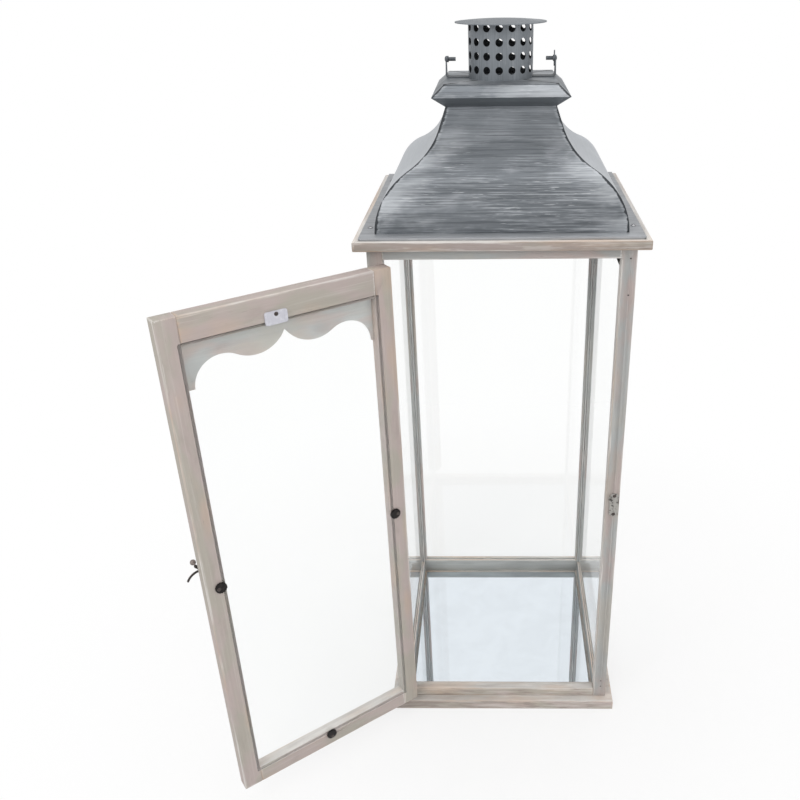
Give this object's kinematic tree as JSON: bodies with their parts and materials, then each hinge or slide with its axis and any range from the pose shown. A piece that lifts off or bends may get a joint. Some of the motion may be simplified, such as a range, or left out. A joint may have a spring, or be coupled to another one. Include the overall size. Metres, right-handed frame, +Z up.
{
  "type": "lantern floor lamp",
  "caption": "Tall square lantern of whitewashed wood with glass sides, a hinged glazed door, a mirror floor and a four-sided ogee roof of sheet metal with a perforated chimney.",
  "frame": {"origin": "centre of the underside of the base board", "axes": "+Z up; -Y is the door side, so +X is to the right of someone who faces the door side"},
  "size_m": [0.5389, 0.5107, 0.9555],
  "materials": {
    "whitewashed_wood": "thin whitewash over pinkish grey softwood, matt, with streaks along the grain",
    "pale_wood": "whitewashed softwood, a little lighter, matt",
    "clear_glass": "clear window glass with a faint green tint",
    "mirror_glass": "silvered mirror glass",
    "galvanised_sheet": "galvanised grey sheet steel with a light brushed streak",
    "pale_zinc": "pale zinc",
    "dark_steel": "dull dark grey steel",
    "dark_brown_iron": "dark brown, nearly black, satin",
    "clip_metal": "pale satin metal",
    "bright_steel": "plain steel",
    "black_plastic": "near black"
  },
  "bodies": {
    "lantern_body": {"base_board": "whitewashed_wood", "door_sill": "pale_wood", "bottom_rail_back": "whitewashed_wood", "bottom_rail_left": "whitewashed_wood", "bottom_rail_right": "whitewashed_wood", "post_front_left": "whitewashed_wood", "post_front_right": "whitewashed_wood", "post_back_left": "whitewashed_wood", "post_back_right": "whitewashed_wood", "top_rail_front": "whitewashed_wood", "top_rail_back": "whitewashed_wood", "top_rail_left": "whitewashed_wood", "top_rail_right": "whitewashed_wood", "top_board_front": "whitewashed_wood", "top_board_back": "whitewashed_wood", "top_board_left": "whitewashed_wood", "top_board_right": "whitewashed_wood", "floor_mirror": "mirror_glass", "glass_left": "clear_glass", "glass_right": "clear_glass", "glass_back": "clear_glass", "glazing_beads": "pale_wood", "door_stop": "black_plastic", "brad_nails": "dark_brown_iron", "roof_flange": "pale_zinc", "roof_screws": "pale_zinc", "roof_panel_front": "galvanised_sheet", "roof_panel_back": "galvanised_sheet", "roof_panel_left": "galvanised_sheet", "roof_panel_right": "galvanised_sheet", "coronet": "galvanised_sheet", "crown_plate": "galvanised_sheet", "chimney_tube": "galvanised_sheet", "chimney_cap": "galvanised_sheet", "handle_strap": "dark_steel", "handle_bolt_left": "dark_steel", "handle_bolt_right": "dark_steel", "handle_wing_nuts": "dark_steel", "hinge_frame_leaf_upper": "bright_steel", "hinge_frame_leaf_lower": "bright_steel", "hinge_pins": "bright_steel", "hinge_frame_screws": "bright_steel", "keeper_plate": "dark_brown_iron", "keeper_screws": "dark_brown_iron"},
    "door": {"door_hinge_stile": "whitewashed_wood", "door_free_stile": "whitewashed_wood", "door_top_rail": "whitewashed_wood", "door_bottom_rail": "whitewashed_wood", "door_valance": "whitewashed_wood", "door_glass": "clear_glass", "glass_buttons": "black_plastic", "glass_clip": "clip_metal", "glass_holder_screws": "bright_steel", "hinge_door_leaf_upper": "bright_steel", "hinge_door_leaf_lower": "bright_steel", "hinge_door_screws": "bright_steel", "latch_plate": "dark_brown_iron", "latch_plate_screws": "dark_brown_iron"},
    "hook": {"latch_hook": "dark_brown_iron", "latch_knob": "dark_brown_iron"}
  },
  "joints": [
    {"name": "door_hinge", "type": "hinge", "parent": "lantern_body", "child": "door", "pos_m": [-0.1375, -0.1595, 0.37], "axis": [0, 0, 1], "range_deg": [-37, 143]},
    {"name": "latch_pivot", "type": "hinge", "parent": "door", "child": "hook", "pos_m": [-0.34874, -0.31868, 0.381], "axis": [-0.6018, 0.7986, 0], "range_deg": [0, 95]}
  ]
}
